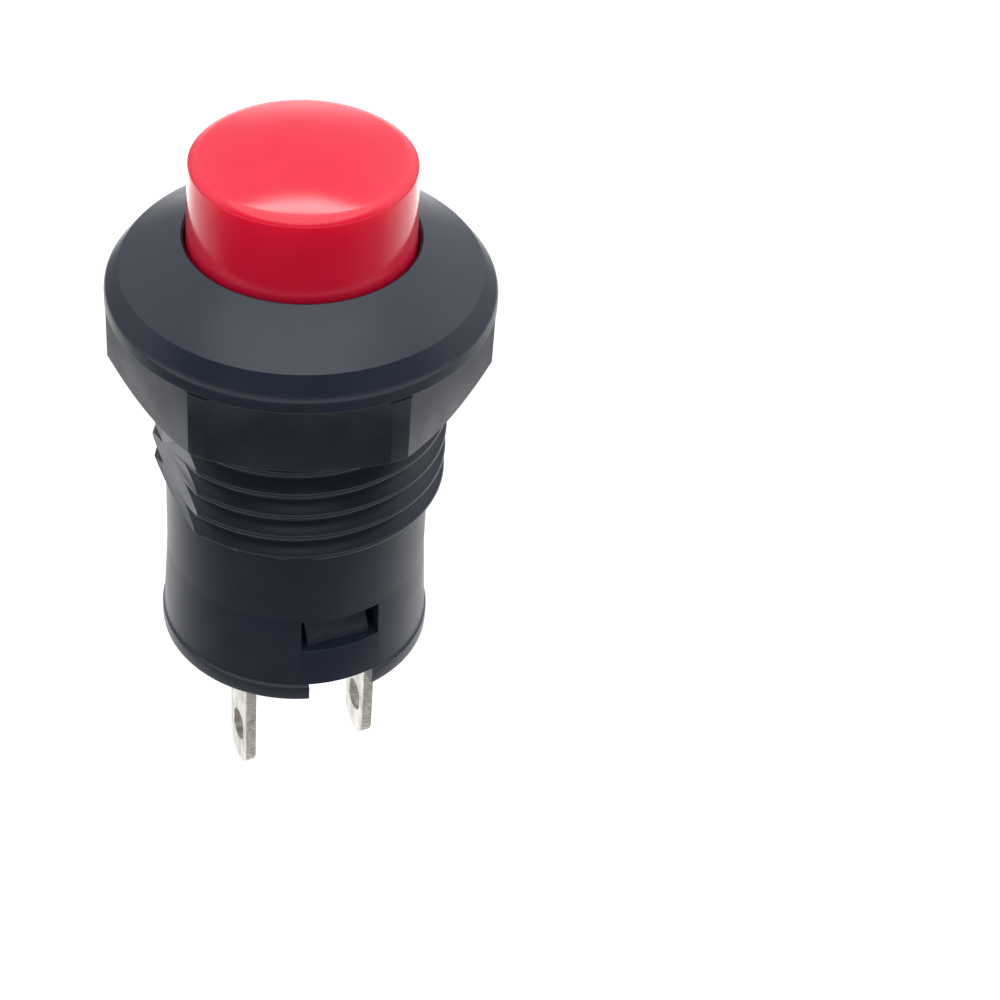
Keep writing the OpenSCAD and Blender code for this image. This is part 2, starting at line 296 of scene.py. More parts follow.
# pale floor that shines for the eye, keeps the part's shadow and is clear from below
paleFloor, tree = newMaterial("pale_floor_matte_paint")
matte = addNode(tree, "ShaderNodeBsdfDiffuse", {}, {"Color": linear(studio["floorPaint"])})
shine = addNode(tree, "ShaderNodeEmission", {}, {
    "Color": (1, 1, 1, 1), "Strength": studio["floorGlow"]})
both = addNode(tree, "ShaderNodeAddShader", {}, {0: matte.outputs[0], 1: shine.outputs[0]})
mixed = addNode(tree, "ShaderNodeMixShader", {}, {
    "Fac": visibleToEye(tree), 1: matte.outputs[0], 2: both.outputs[0]})
oneSided = addNode(tree, "ShaderNodeMixShader", {}, {
    "Fac": addNode(tree, "ShaderNodeNewGeometry").outputs["Backfacing"],
    1: mixed.outputs[0], 2: addNode(tree, "ShaderNodeBsdfTransparent").outputs[0]})
addNode(tree, "ShaderNodeOutputMaterial", {}, {"Surface": oneSided.outputs[0]})

lowest = boxOf("terminal_left")[0].z
bm = bmesh.new()
bmesh.ops.create_grid(bm, x_segments=8, y_segments=8, size=studio["floorSize"])
bmesh.ops.translate(bm, vec=(0, 0, lowest - studio["floorDrop"]), verts=bm.verts)
floor = meshObject("floor", bm)
if floor.data.polygons[0].normal.z < 0:       # its pale side has to face up
    floor.data.flip_normals()
floor.data.materials.append(paleFloor)

# graded card round the part that only reflections see: a dark front with a bright slit of
# window light at the horizon, a pale table at the sides and a grey room behind
card = {
    "radius": 60, "low": -72, "high": 58, "columns": 180, "rows": 195,
    "leftTable": [(60, 0.13), (78, 0.3), (98, 0.58), (115, 0.82), (137, 1.13), (160, 1.25),
                  (180, 1.25)],
    "rightTable": [(30, 0.13), (60, 0.32), (76, 0.43), (90, 0.68), (115, 1.06), (145, 1.06),
                   (180, 1.25)],
    "slit": [(-24, 0.03), (-19, 1.55), (-11, 1.55), (3, 0.55), (20, 0.14), (34, 0.02), (46, 0.02),
             (58, 0.9)],
    "leftRoom": [(-16, 0.24), (0, 0.34), (16, 0.67), (35, 1.05), (60, 1.2)],
    "rightRoom": [(-16, 0.38), (0, 0.5), (16, 0.93), (35, 1.38), (60, 1.55)],
    "behind": [(-16, 1.9), (0, 2), (23, 2.6), (25, 1.6), (28, 0.95), (31, 0.68), (46, 0.78),
               (60, 0.6)],
    "capBand": [(80, 0), (113, 0.4), (143, 0.74), (180, 0.8)],
    "under": [(0, 0.6), (50, 0.75), (110, 1.15), (180, 1.2)],
    # how far the pale table dips, lifts at the back and dims on the right, and where in
    # degrees one part of the card fades into the next
    "leastGlow": 0.02, "dip": 0.16, "dipSpan": (-42, -32), "lift": 0.6, "liftSpan": (140, 165),
    "dim": 0.45, "dimRise": (-44, -36), "dimFall": (30, 33), "dimNear": (80, 95),
    "dimFar": (-150, -135), "bandSpan": (-33, -30), "underSpan": (50, 62),
    "behindSpan": (152, 172), "sideSpan": (58, 108), "tableSpan": (17, 23),
}
# lens-shaped strip of window light high behind the part
lens = {"azimuth": 179.5, "half": 23, "elevation": 54, "bend": 3.6, "below": 2.4, "above": 5,
        "bluntness": 0.3, "softEnd": 0.35, "glow": 8.5}


# smooth step from 0 at start to 1 at end
def ramp(value, start, end):
    t = min(1, max(0, (value - start) / (end - start)))
    return t * t * (3 - 2 * t)


def lensGlow(azimuth, elevation):
    across = ((azimuth - lens["azimuth"]) % 360 + 180) % 360 - 180
    share = (across / lens["half"]) ** 2
    if share >= 1:
        return 0
    offset = elevation - lens["elevation"] - lens["bend"] * share
    reach = (lens["above"] if offset > 0 else lens["below"]) * (1 - share) ** lens["bluntness"]
    middle = ramp(1 - abs(offset) / reach, 0, 1)
    return lens["glow"] * middle * ramp(1 - share, 0, lens["softEnd"])


def cardGlow(azimuth, elevation):
    side = abs(azimuth)
    hand = "right" if azimuth > 0 else "left"
    dipped = ramp(elevation, *card["dipSpan"])
    table = max(card["leastGlow"], between(card[hand + "Table"], side) - card["dip"] * dipped)
    table *= 1 + card["lift"] * ramp(side, *card["liftSpan"]) * dipped
    if azimuth > 0:
        dim = ramp(elevation, *card["dimRise"]) * ramp(-elevation, *card["dimFall"])
        dim *= card["dim"] * ramp(side, *card["dimNear"]) * ramp(-side, *card["dimFar"])
        table *= 1 - dim
    table += between(card["capBand"], side) * ramp(elevation, *card["bandSpan"])
    table += (between(card["under"], side) - table) * ramp(-elevation, *card["underSpan"])
    room = between(card[hand + "Room"], elevation)
    room += (between(card["behind"], elevation) - room) * ramp(side, *card["behindSpan"])
    slit = between(card["slit"], elevation)
    wall = slit + (room - slit) * ramp(side, *card["sideSpan"])
    wall += (table - wall) * ramp(-elevation, *card["tableSpan"])
    return wall + lensGlow(azimuth, elevation)


bm = bmesh.new()
glowLayer = bm.verts.layers.float.new("glow")
grid = []
for i in range(card["rows"] + 1):
    elevation = card["low"] + (card["high"] - card["low"]) * i / card["rows"]
    line = []
    for j in range(card["columns"]):
        azimuth = 360 * j / card["columns"] - 180
        v = bm.verts.new(towards(azimuth, elevation) * card["radius"])
        v[glowLayer] = cardGlow(azimuth, elevation)
        line.append(v)
    grid.append(line)
for low, high in zip(grid, grid[1:]):
    for j in range(card["columns"]):
        n = (j + 1) % card["columns"]
        bm.faces.new((low[j], low[n], high[n], high[j]))
bowl = meshObject("reflection_card", bm)
cardPaint, tree = newMaterial("graded_card_paper")
mark = addNode(tree, "ShaderNodeAttribute", {"attribute_name": "glow"})
addNode(tree, "ShaderNodeOutputMaterial", {}, {"Surface": addNode(
    tree, "ShaderNodeEmission", {}, {"Strength": mark.outputs["Fac"]}).outputs[0]})
bowl.data.materials.append(cardPaint)
bowl.visible_camera = bowl.visible_diffuse = bowl.visible_shadow = False
bowl.visible_transmission = bowl.visible_volume_scatter = False
print("studio done")


softStep = {"interpolation_type": "SMOOTHSTEP"}
usualSpan = {"From Min": 0.3, "From Max": 0.7}        # where most of a noise field lies


# moulded plastic: mottled tint, uneven gloss, slow flow waves and a spark-eroded grain; the
# real grain is a few hundredths of a millimetre, so it is drawn coarser to show
def moulded(name, look):
    material, tree = newMaterial(name)
    here = addNode(tree, "ShaderNodeTexCoord").outputs["Object"]
    mottle, sheen, grain, flow = [
        addNode(tree, "ShaderNodeTexNoise", {}, {
            "Vector": here, "Scale": 1 / (look[size] * mm), "Detail": detail,
            "Roughness": fineness})
        for size, detail, fineness in (("mottleSize", 2, 0.5), ("sheenSize", 2, 0.5),
                                       ("grainSize", 4, 0.6), ("flowSize", 2, 0.5))]
    tinted = addNode(tree, "ShaderNodeMapRange", softStep, {
        "Value": mottle.outputs["Fac"], **usualSpan})
    colour = addNode(tree, "ShaderNodeMix", {"data_type": "RGBA"}, {
        "Factor": tinted.outputs["Result"], 6: linear(look["base"]), 7: linear(look["tint"])})
    roughness = addNode(tree, "ShaderNodeMapRange", softStep, {
        "Value": sheen.outputs["Fac"], **usualSpan,
        "To Min": look["rough"] - look["roughSwing"], "To Max": look["rough"] + look["roughSwing"]})
    wave = addNode(tree, "ShaderNodeBump", {}, {
        "Height": flow.outputs["Fac"], "Distance": look["flowDepth"] * mm, "Strength": 1})
    bump = addNode(tree, "ShaderNodeBump", {}, {
        "Height": grain.outputs["Fac"], "Distance": look["grainDepth"] * mm, "Strength": 1,
        "Normal": wave.outputs[0]})
    shader = addNode(tree, "ShaderNodeBsdfPrincipled", {}, {
        "Base Color": colour.outputs[2], "Roughness": roughness.outputs["Result"],
        "IOR": look["ior"], "Normal": bump.outputs[0], "Subsurface Weight": look["bleed"],
        "Subsurface Radius": look["bleedReach"], "Subsurface Scale": mm})
    addNode(tree, "ShaderNodeOutputMaterial", {}, {"Surface": shader.outputs[0]})
    return material


# metal: streaks along one axis, cloudy tarnish and uneven gloss; real streaks are a few
# hundredths of a millimetre wide, so they are drawn coarser to show
def metal(name, look):
    material, tree = newMaterial(name)
    here = addNode(tree, "ShaderNodeTexCoord").outputs["Object"]
    drawn = addNode(tree, "ShaderNodeMapping", {}, {
        "Vector": here, "Scale": look["stretch"]}).outputs[0]
    streak = addNode(tree, "ShaderNodeTexNoise", {}, {
        "Vector": drawn, "Scale": 1 / (look["streakSize"] * mm), "Detail": 5,
        "Roughness": 0.6}).outputs["Fac"]
    cloud = addNode(tree, "ShaderNodeTexNoise", {}, {
        "Vector": here, "Scale": 1 / (look["cloudSize"] * mm), "Detail": 4,
        "Roughness": 0.5}).outputs["Fac"]
    dulled = addNode(tree, "ShaderNodeMapRange", softStep, {
        "Value": cloud, "From Min": 0.35, "From Max": 0.65})
    plain = addNode(tree, "ShaderNodeMix", {"data_type": "RGBA"}, {
        "Factor": dulled.outputs["Result"], 6: linear(look["base"]), 7: linear(look["tarnish"])})
    lined = addNode(tree, "ShaderNodeMapRange", softStep, {
        "Value": streak, "From Min": 0.4, "From Max": 0.7, "To Max": look["streakMix"]})
    colour = addNode(tree, "ShaderNodeMix", {"data_type": "RGBA"}, {
        "Factor": lined.outputs["Result"], 6: plain.outputs[2], 7: linear(look["streak"])})
    roughness = addNode(tree, "ShaderNodeMapRange", softStep, {
        "Value": streak, **usualSpan,
        "To Min": look["rough"] - look["roughSwing"], "To Max": look["rough"] + look["roughSwing"]})
    bump = addNode(tree, "ShaderNodeBump", {}, {
        "Height": streak, "Distance": look["streakDepth"] * mm, "Strength": 1})
    shader = addNode(tree, "ShaderNodeBsdfPrincipled", {}, {
        "Base Color": colour.outputs[2], "Roughness": roughness.outputs["Result"], "Metallic": 1,
        "Normal": bump.outputs[0]})
    addNode(tree, "ShaderNodeOutputMaterial", {}, {"Surface": shader.outputs[0]})
    return material


# blue-black satin body; its faint grain breaks up the highlights
bodyPlastic = moulded("abs_plastic_moulded_black", {
    "base": "#192233", "tint": "#1c2536", "mottleSize": 1.8, "sheenSize": 2.5,
    "rough": 0.32, "roughSwing": 0.03, "grainSize": 0.12, "grainDepth": 0.004,
    "flowSize": 3, "flowDepth": 0.004, "ior": 1.5,
    "bleed": 0, "bleedReach": (1, 1, 1)})
# the nut's nylon is a little flatter
nutPlastic = moulded("nylon_plastic_moulded_black", {
    "base": "#18202d", "tint": "#1b2330", "mottleSize": 1.5, "sheenSize": 2,
    "rough": 0.34, "roughSwing": 0.04, "grainSize": 0.12, "grainDepth": 0.005,
    "flowSize": 2.5, "flowDepth": 0.005, "ior": 1.5,
    "bleed": 0, "bleedReach": (1, 1, 1)})
# bright red gloss, pink where it mirrors the window light and deep red in its shade
capPlastic = moulded("abs_plastic_moulded_red", {
    "base": "#e5173b", "tint": "#ea1b40", "mottleSize": 2.5, "sheenSize": 3,
    "rough": 0.12, "roughSwing": 0.02, "grainSize": 0.1, "grainDepth": 0.0006,
    "flowSize": 4, "flowDepth": 0.01, "ior": 1.5, "bleed": 0.8, "bleedReach": (2.6, 0.5, 0.5)})
# nearly matt dark base that closes the switch and shows in the latch windows
basePlastic = moulded("phenolic_resin_moulded_black", {
    "base": "#1c2534", "tint": "#202938", "mottleSize": 0.8, "sheenSize": 1.2,
    "rough": 0.7, "roughSwing": 0.08, "grainSize": 0.1, "grainDepth": 0.006,
    "flowSize": 1.5, "flowDepth": 0.02, "ior": 1.5,
    "bleed": 0, "bleedReach": (1, 1, 1)})
# ivory stem with a slightly waxy sheen
stemPlastic = moulded("acetal_plastic_moulded_ivory", {
    "base": "#dcd8cb", "tint": "#e4e0d4", "mottleSize": 1.5, "sheenSize": 2,
    "rough": 0.35, "roughSwing": 0.06, "grainSize": 0.1, "grainDepth": 0.003,
    "flowSize": 2, "flowDepth": 0.01, "ior": 1.48, "bleed": 0.2, "bleedReach": (1, 0.8, 0.6)})
# dull warm tin plate with rolling streaks along the lug
tinned = metal("tinned_brass_rolled", {
    "base": "#efede8", "tarnish": "#d2cfc8", "streak": "#b5b0a6", "streakMix": 0.5,
    "stretch": (1, 1, 0.22), "streakSize": 0.3, "cloudSize": 0.9, "streakDepth": 0.006,
    "rough": 0.36, "roughSwing": 0.08})
# its sheared edges are torn, so they scatter light more widely
sheared = metal("tinned_brass_sheared", {
    "base": "#dddad2", "tarnish": "#c4c0b7", "streak": "#a19b90", "streakMix": 0.6,
    "stretch": (1, 1, 3), "streakSize": 0.25, "cloudSize": 0.6, "streakDepth": 0.02,
    "rough": 0.6, "roughSwing": 0.1})
# clean yellow brass strip with faint rolling lines
brass = metal("brass_rolled_bare", {
    "base": "#e4c482", "tarnish": "#cbad72", "streak": "#bc9c65", "streakMix": 0.5,
    "stretch": (0.2, 1, 1), "streakSize": 0.2, "cloudSize": 1, "streakDepth": 0.004,
    "rough": 0.3, "roughSwing": 0.07})
# pale silver of the contact rivets, softly tarnished
silver = metal("silver_cold_headed", {
    "base": "#f1efec", "tarnish": "#d5d0c7", "streak": "#bcb5aa", "streakMix": 0.3,
    "stretch": (1, 1, 1), "streakSize": 0.25, "cloudSize": 0.5, "streakDepth": 0.003,
    "rough": 0.28, "roughSwing": 0.07})
# grey drawn wire with lines along the coil
steel = metal("spring_steel_drawn", {
    "base": "#c5c5c4", "tarnish": "#aeaeae", "streak": "#959595", "streakMix": 0.5,
    "stretch": (0.6, 0.6, 3), "streakSize": 0.2, "cloudSize": 1.5, "streakDepth": 0.003,
    "rough": 0.3, "roughSwing": 0.06})
print("materials done")


lowHousing, highHousing = boxOf("housing")
lowCap, highCap = boxOf("button_cap")
lowNut, highNut = boxOf("hex_nut")
lowBase = boxOf("terminal_base")[0]

housing = {
    "rimR": highHousing.x, "rimZ": 0.75, "rimRound": 0.68, "top": highHousing.z,
    "holeR": highCap.x + 0.1, "holeEdge": 0.15, "shoulderR": highHousing.x - 0.66,
    "shoulderZ": highHousing.z - 1.69, "crestR": 7, "rootR": 6.4, "pitch": 1.25,
    "crestAt": -9.94, "crestAngle": -111.5, "barrelZ": lowHousing.z + 9.25, "fadeZ": -1.65,
    "keyX": -6.18, "keyRun": 0.7, "skirtZ": lowHousing.z, "skirtR": 6.28, "flareZ": lowHousing.z + 5,
    "bandR": 6.57, "bandH": 0.85, "bandStep": 0.09, "bandRise": 0.15, "guard": 0.12,
    "socketR": 5.4, "chamberR": 5.1, "runIn": 0.24, "runOut": 0.5,
    "baseTop": lowBase.z + 1.9, "shelfZ": -8.25, "shelfTop": -5.75,
    "guideR": 2.05, "guideWall": 0.8, "guideH": 2,
    "windowW": 3.9, "windowH": 1.8, "windowZ": lowHousing.z + 3.1, "windowEdge": 0.13,
    "edgeTurn": 40, "edgeReach": 0.15, "notchW": 3.25, "notchH": 1, "cutFrom": 4, "cutTo": 8,
    "columns": 192,
}
h = housing                           # short name, its sizes are read often

# one pitch of the thread from its crest up: share of the pitch, share of the depth
threadShape = [(0.0, 1.0), (0.05, 0.995), (0.085, 0.965), (0.12, 0.9), (0.18, 0.76), (0.26, 0.55),
               (0.34, 0.34), (0.4, 0.18), (0.435, 0.07), (0.47, 0.015), (0.5, 0.0)]
threadShape += [(1 - a, b) for a, b in reversed(threadShape[1:-1])]


# radius of the thread at height z, fading out at both ends of the barrel
def threadRadius(z, share):
    r = h["rootR"] + (h["crestR"] - h["rootR"]) * share
    fade = min(1, max(0, (z - h["barrelZ"]) / h["runIn"]))
    r = min(r, h["skirtR"] + (h["crestR"] - h["skirtR"]) * fade)
    plain = min(1, max(0, (z - h["fadeZ"]) / h["runOut"]))
    return r + (h["crestR"] - r) * plain


# right-handed thread: a helical grid from the barrel's lower end to the bezel
def threadColumns(bm):
    perPitch = len(threadShape)
    phase = (h["crestAt"] - h["pitch"] * math.radians(h["crestAngle"]) / (2 * math.pi)) % h["pitch"]
    first = math.floor((h["barrelZ"] - h["pitch"] - phase) / h["pitch"])
    last = math.ceil(-phase / h["pitch"])
    starts = [(phase + (turnNo + a) * h["pitch"], share)
              for turnNo in range(first, last) for a, share in threadShape]
    lines = []
    for k in range(h["columns"]):
        angle = 2 * math.pi * k / h["columns"]
        line = []
        for s, share in starts:
            z = s + h["pitch"] * k / h["columns"]
            if z <= h["barrelZ"]:
                r, z = h["skirtR"], h["barrelZ"]
            elif z >= 0:
                r, z = h["crestR"], 0
            else:
                r = threadRadius(z, share)
            line.append(bm.verts.new((r * math.cos(angle), r * math.sin(angle), z)))
        lines.append(line)
    count = len(starts)
    for k in range(h["columns"]):
        here, there = lines[k], lines[(k + 1) % h["columns"]]
        shift = perPitch if k == h["columns"] - 1 else 0
        for i in range(count - 1):
            a, b = min(i + shift, count - 1), min(i + 1 + shift, count - 1)
            corners = [here[i], here[i + 1], there[b]] + ([there[a]] if a != b else [])
            if len({tuple(round(c, 5) for c in v.co) for v in corners}) > 2:
                bm.faces.new(corners)


# eases the latch windows' edges that turn sharply near the skirt's outside
def easeWindows(piece):
    bm = bmesh.new()
    bm.from_mesh(piece.data)
    edges = []
    for edge in bm.edges:
        if len(edge.link_faces) != 2:
            continue
        middle = (edge.verts[0].co + edge.verts[1].co) / (2 * mm)
        inside = (abs(middle.x) < h["windowW"] / 2 + 0.01
                  and -0.01 < middle.z - h["windowZ"] < h["windowH"] + 0.01)
        outside = abs(math.hypot(middle.x, middle.y) - h["skirtR"]) < h["edgeReach"]
        if inside and outside and edge.calc_face_angle(0) > math.radians(h["edgeTurn"]):
            edges.append(edge)
    bmesh.ops.bevel(bm, geom=edges, offset=h["windowEdge"] * mm, segments=3, affect="EDGES",
                    profile=0.5, clamp_overlap=True)
    bm.to_mesh(piece.data)
    bm.free()
    piece.data.set_sharp_from_angle(angle=math.radians(smoothAngle))
    return len(edges)


bezel = filleted([
    (h["holeR"], h["top"] - h["holeEdge"], 0), (h["holeR"] + h["holeEdge"], h["top"], 0.08),
    (h["shoulderR"], h["shoulderZ"], 0.09), (h["rimR"], h["rimZ"], h["rimRound"]),
    (h["rimR"], 0, 0.06), (h["crestR"], 0, 0)], 9)
# a ring close above the band keeps the skirt's shading even
stepZ = h["skirtZ"] + h["bandH"] + h["bandRise"]
guardZ = stepZ + h["guard"]
flared = (h["flareZ"] - guardZ) / (h["flareZ"] - stepZ)
guardR = h["skirtR"] + (h["bandR"] - h["bandStep"] - h["skirtR"]) * flared
guideTop, guideOut = h["shelfTop"] + h["guideH"], h["guideR"] + h["guideWall"]
skirt = filleted([
    (h["skirtR"], h["barrelZ"], 0), (h["skirtR"], h["flareZ"], 3), (guardR, guardZ, 0),
    (h["bandR"] - h["bandStep"], stepZ, 0.06), (h["bandR"], h["skirtZ"] + h["bandH"], 0.06),
    (h["bandR"], h["skirtZ"], 0.2), (h["socketR"], h["skirtZ"], 0.12),
    (h["socketR"], h["baseTop"], 0), (h["chamberR"], h["baseTop"], 0),
    (h["chamberR"], h["shelfZ"], 0.2), (h["guideR"], h["shelfZ"], 0.1),
    (h["guideR"], guideTop, 0.08), (guideOut, guideTop, 0.08), (guideOut, h["shelfTop"], 0.15),
    (h["holeR"], h["shelfTop"], 0.2), (h["holeR"], h["top"] - h["holeEdge"], 0)])
bm = bmesh.new()
revolved(bm, bezel, h["columns"])
revolved(bm, skirt, h["columns"])
threadColumns(bm)
bmesh.ops.remove_doubles(bm, verts=bm.verts, dist=1e-4)
bmesh.ops.dissolve_degenerate(bm, edges=bm.edges, dist=1e-5)
switchHousing = meshObject("housing_moulded", bm)
reach = h["rimR"] + 1
keyOutline = [(-reach, h["barrelZ"]), (-h["skirtR"] - 0.01, h["barrelZ"]),
              (h["keyX"], h["barrelZ"] + h["keyRun"]), (h["keyX"], 0), (-reach, 0)]
boolean(switchHousing, spanned("key_flat", *(
    [(x, y, z) for x, z in keyOutline] for y in (-reach, reach))), "DIFFERENCE")
for side in (-1, 1):
    for width, low, high in ((h["windowW"], h["windowZ"], h["windowZ"] + h["windowH"]),
                             (h["notchW"], h["skirtZ"] - 1, h["skirtZ"] + h["notchH"])):
        near, far = sorted((side * h["cutFrom"], side * h["cutTo"]))
        boolean(switchHousing, meshObject("opening", blockMesh(
            (-width / 2, near, low), (width / 2, far, high))), "DIFFERENCE")
eased = easeWindows(switchHousing)
finishPiece(switchHousing, "housing", "black_plastic", bodyPlastic, "housing")
print("housing done", len(switchHousing.data.polygons), "faces,", eased, "eased edges")


nut = {"low": lowNut.z, "high": highNut.z, "boreR": 7.05, "cornerR": 8.87, "cornerCut": 0.25,
       "turn": -21.2, "lowFace": 0.15, "topFace": 0.2, "mouth": 0.25, "bevel": 0.07,
       "bevelAngle": 18, "columns": 192}
hexR = nut["cornerR"] + nut["cornerCut"]
flatR = hexR * math.cos(math.radians(30))
slope = math.tan(math.radians(30))
bm = bmesh.new()
revolved(bm, [
    (nut["boreR"], nut["low"] + nut["mouth"]), (nut["boreR"] + nut["mouth"], nut["low"]),
    (flatR - nut["lowFace"], nut["low"]),
    (nut["cornerR"], nut["low"] + (nut["cornerR"] - flatR + nut["lowFace"]) * slope),
    (nut["cornerR"], nut["high"] - nut["topFace"] * slope),
    (nut["cornerR"] - nut["topFace"], nut["high"]), (nut["boreR"] + nut["mouth"], nut["high"]),
    (nut["boreR"], nut["high"] - nut["mouth"])], nut["columns"], closed=True)
hexNut = meshObject("hex_nut_moulded", bm)
hexagon = [(hexR * math.cos(a), hexR * math.sin(a))
           for a in (math.radians(nut["turn"] + 60 * k) for k in range(6))]
boolean(hexNut, spanned("hexagon", *(
    [(x, y, z) for x, y in hexagon] for z in (nut["low"] - 1, nut["high"] + 1))), "INTERSECT")
bevel = hexNut.modifiers.new("soft_edges", "BEVEL")
bevel.width, bevel.segments, bevel.limit_method = nut["bevel"] * mm, 3, "ANGLE"
bevel.angle_limit = math.radians(nut["bevelAngle"])
applyModifiers(hexNut)
finishPiece(hexNut, "nut", "nut_plastic", nutPlastic, "hex_nut")
print("nut done")


cap = {"r": highCap.x, "topR": highCap.x - 0.12, "dome": 0.3, "edge": 0.5, "edgeTurn": 52,
       "crease": 0.12, "guard": 0.12, "foot": 0.2, "bottom": lowCap.z, "top": highCap.z - 0.3,
       "roof": highCap.z - 1.5, "hollowR": 4.13, "hubR": 2.9, "hubZ": 1.75, "boreR": 1.58,
       "boreZ": highCap.z - 2, "arcSteps": 12, "domeSteps": 28, "columns": 192}
# the edge is a flat arc that runs on into the dome, over a tight crease above the side
domeR = cap["topR"] - cap["edge"]
lean, turned = math.atan2(2 * cap["dome"], domeR), math.radians(cap["edgeTurn"])
arcR = cap["edge"] / (math.sin(turned) - math.sin(lean))
arc = []
for k in range(cap["arcSteps"] + 1):
    a = turned + (lean - turned) * k / cap["arcSteps"]
    arc.append((domeR + arcR * (math.sin(a) - math.sin(lean)),
                cap["top"] - arcR * (math.cos(lean) - math.cos(a))))
profile = filleted([
    (0, cap["boreZ"], 0), (cap["boreR"], cap["boreZ"], 0.1), (cap["boreR"], cap["hubZ"], 0.1),
    (cap["hubR"], cap["hubZ"], 0.1), (cap["hubR"], cap["roof"], 0.15),
    (cap["hollowR"], cap["roof"], 0.3), (cap["hollowR"], cap["bottom"], 0.1),
    (cap["r"], cap["bottom"], cap["foot"]),
    (cap["r"], cap["bottom"] + cap["foot"] + cap["guard"], 0), (cap["r"], h["top"], 0),
    (cap["topR"], arc[0][1] - cap["guard"], 0), (*arc[0], cap["crease"]),
    *((r, z, 0) for r, z in arc[1:])], 4)
startR, startZ = profile[-1]
for k in range(1, cap["domeSteps"] + 1):
    f = 1 - k / cap["domeSteps"]
    profile.append((startR * f, startZ + (highCap.z - startZ) * (1 - f * f)))
bm = bmesh.new()
revolved(bm, profile, cap["columns"])
bmesh.ops.remove_doubles(bm, verts=bm.verts, dist=1e-4)
buttonCap = meshObject("button_cap_moulded", bm)
finishPiece(buttonCap, "button", "red_plastic", capPlastic, "button_cap")
print("cap done")


lug = {"w": 2.3, "t": 0.55, "eyeW": 1.36, "eyeLen": 1.85, "eyeDrop": 1.2, "step": 0.07,
       "swell": 0.02, "bevel": 0.035, "rootEnd": -20.15, "longRoot": -24.15, "taper": 0.65,
       "thinned": 0.98, "bladeTop": 0.1, "rootTop": 0.05, "footReach": 0.1, "footEdge": 0.04,
       "left": -2.67, "right": 3.77}


# upright slot with round ends, as points round its edge
def stadium(y, z, width, height, steps=20):
    points, r = [], width / 2
    for middle, start in ((z + height / 2 - r, 0), (z - height / 2 + r, math.pi)):
        for k in range(steps + 1):
            a = start + math.pi * k / steps
            points.append((y + r * math.cos(a), middle + r * math.sin(a)))
    return points


# strip stamped from sheet: closed outlines in Y and Z, filled between, with eased edges
def stamped(name, outlines, x, thickness, bevelBy):
    curve = bpy.data.curves.new(name, "CURVE")
    curve.dimensions, curve.fill_mode = "2D", "BOTH"
    curve.extrude = thickness / 2 - bevelBy
    curve.bevel_depth, curve.bevel_resolution, curve.offset = bevelBy, 2, -bevelBy
    for points in outlines:
        spline = curve.splines.new("POLY")
        spline.points.add(len(points) - 1)
        for spot, (u, v) in zip(spline.points, points):
            spot.co = (u, v, 0, 1)
        spline.use_cyclic_u = True
    drawn = bpy.data.objects.new(name + "_outline", curve)
    bpy.context.scene.collection.objects.link(drawn)
    bpy.context.view_layer.update()
    mesh = bpy.data.meshes.new_from_object(
        drawn.evaluated_get(bpy.context.evaluated_depsgraph_get()))
    bpy.data.objects.remove(drawn)
    bm = bmesh.new()
    bm.from_mesh(mesh)
    bpy.data.meshes.remove(mesh)
    # the sheet lies in Y and Z, its thickness along X
    bmesh.ops.transform(bm, matrix=Matrix(((0, 0, 1, x), (1, 0, 0, 0), (0, 1, 0, 0), (0, 0, 0, 1))),
                        verts=bm.verts)
    bmesh.ops.remove_doubles(bm, verts=bm.verts, dist=1e-4)
    return bm


# adds the source mesh to the target and clears it away
def joinInto(target, source):
    mesh = bpy.data.meshes.new("part")
    source.to_mesh(mesh)
    source.free()
    target.from_mesh(mesh)
    bpy.data.meshes.remove(mesh)


# blade with an eye, a thicker root where it leaves the base, and a foot inside the switch;
# the root is a hair wider than the blade, so that no faces lie in one plane
def makeLug(name, node, x, rootEnd, taper):
    low, high = boxOf(node)
    r = lug["w"] / 2
    tip = [(r * math.cos(a), low.z + r + r * math.sin(a))
           for a in (math.pi + math.pi * k / 36 for k in range(37))]
    top = high.z - lug["bladeTop"]
    outline = tip + [(r, top), (-r, top)]
    eye = stadium(0, low.z + r + lug["eyeDrop"], lug["eyeW"], lug["eyeLen"])
    bm = stamped(name, [outline, eye], x, lug["t"], lug["bevel"])
    thick = lug["t"] + 2 * lug["step"]
    wide = r + lug["swell"]
    top = high.z - lug["rootTop"]
    root = stamped(name, [[(-wide, rootEnd), (wide, rootEnd), (wide, top), (-wide, top)]],
                   x, thick, lug["bevel"])
    if taper:
        # the raised root thins out into the blade
        for v in root.verts:
            if v.co.z < rootEnd + lug["bevel"] * 1.5:
                v.co.x = x + (v.co.x - x) * lug["t"] / thick * lug["thinned"]
                v.co.z -= taper
    joinInto(bm, root)
    inner, outer = sorted((x + math.copysign(lug["footReach"], x), high.x if x > 0 else low.x))
    joinInto(bm, blockMesh((inner, -r, h["baseTop"]), (outer, r, high.z), lug["footEdge"]))
    piece = meshObject(name, bm)
    finishPiece(piece, "housing", "tinned_brass", tinned, node)
    piece.data.materials.append(sheared)
    for face in piece.data.polygons:
        if abs(face.normal.x) < 0.5 and face.center.z < h["skirtZ"] * mm:
            face.material_index = 1


makeLug("solder_lug_left", "terminal_left", lug["left"], lug["longRoot"], lug["taper"])
makeLug("solder_lug_right", "terminal_right", lug["right"], lug["rootEnd"], 0)
print("lugs done")


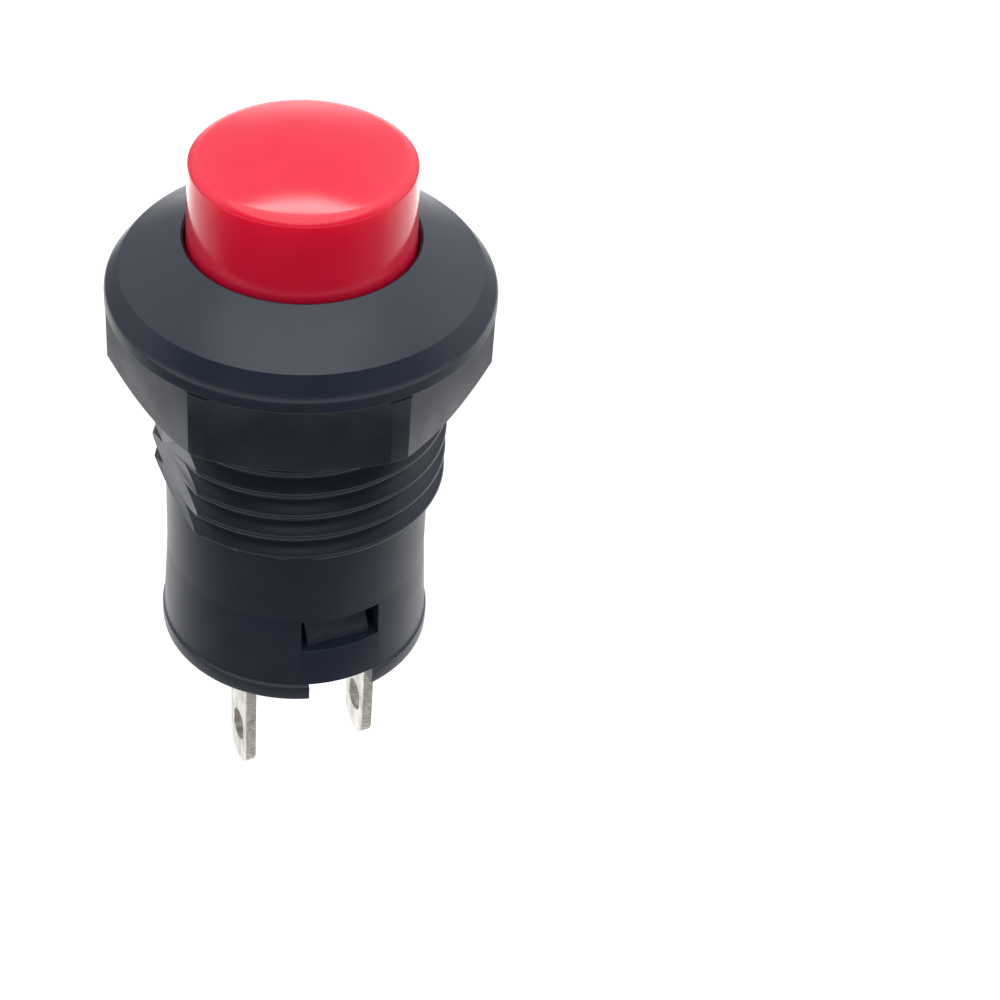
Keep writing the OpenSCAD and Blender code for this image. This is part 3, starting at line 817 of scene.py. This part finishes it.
# round wire wound up from low to high, with its end turns lying flat
def helix(name, midR, wire, turns, low, high, closedTurns=0.75, sides=12, steps=40):
    low, high = low + wire / 2, high - wire / 2
    lay = wire * 1.02                 # rise of one end turn, a hair more than the wire
    count = int(turns * steps)
    path = []
    for k in range(count + 1):
        t = turns * k / count
        s = min(1, max(0, (t - closedTurns) / (turns - 2 * closedTurns)))
        lift = low + lay * (min(t, closedTurns) + max(0, t - turns + closedTurns))
        lift += s * (high - low - 2 * lay * closedTurns)
        a = 2 * math.pi * t
        path.append(Vector((midR * math.cos(a), midR * math.sin(a), lift)))
    bm = bmesh.new()
    rings = []
    for k, p in enumerate(path):
        along = (path[min(k + 1, count)] - path[max(k - 1, 0)]).normalized()
        outward = Vector((p.x, p.y, 0)).normalized()
        up = along.cross(outward).normalized()
        rings.append([bm.verts.new(p + (outward * math.cos(a) + up * math.sin(a)) * wire / 2)
                      for a in (2 * math.pi * j / sides for j in range(sides))])
    for a, b in zip(rings, rings[1:]):
        for j in range(sides):
            n = (j + 1) % sides
            bm.faces.new((a[j], a[n], b[n], b[j]))
    bm.faces.new(rings[0])
    bm.faces.new(rings[-1])
    return meshObject(name, bm, 50)


springs = {"returnR": 3.4, "returnWire": 0.5, "returnTurns": 6, "press": 2.5,
           "contactR": 1.75, "contactWire": 0.35, "contactTurns": 4, "overtravel": 0.82,
           "seat": 0.02}              # gap that keeps the wire off the bridge at full press

lowReturn, highReturn = boxOf("return_spring")
returnSpring = helix("return_spring_wire", springs["returnR"], springs["returnWire"],
                     springs["returnTurns"], lowReturn.z, highReturn.z)
finishPiece(returnSpring, "housing", "spring_steel", steel, "return_spring")
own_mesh(returnSpring)

lowContact, highContact = boxOf("contact_spring")
contactSpring = helix("contact_spring_wire", springs["contactR"], springs["contactWire"],
                      springs["contactTurns"], lowContact.z + springs["seat"], highContact.z)
finishPiece(contactSpring, "button", "spring_steel", steel, "contact_spring")
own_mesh(contactSpring)
print("springs done")


# CAD nodes that keep their shape
innerPieces = {"plunger": stemPlastic, "stop_ring": steel, "contact_bridge": brass,
               "moving_contact_left": silver, "moving_contact_right": silver,
               "bridge_clip": steel, "terminal_base": basePlastic,
               "fixed_contact_left": silver, "fixed_contact_right": silver}
for node, material in innerPieces.items():
    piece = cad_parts[node]
    if not piece.material_slots:
        piece.data.materials.append(material)
    for slot in piece.material_slots:
        slot.material = material
print("inner pieces done")

bpy.context.scene.view_settings.view_transform = "Standard"
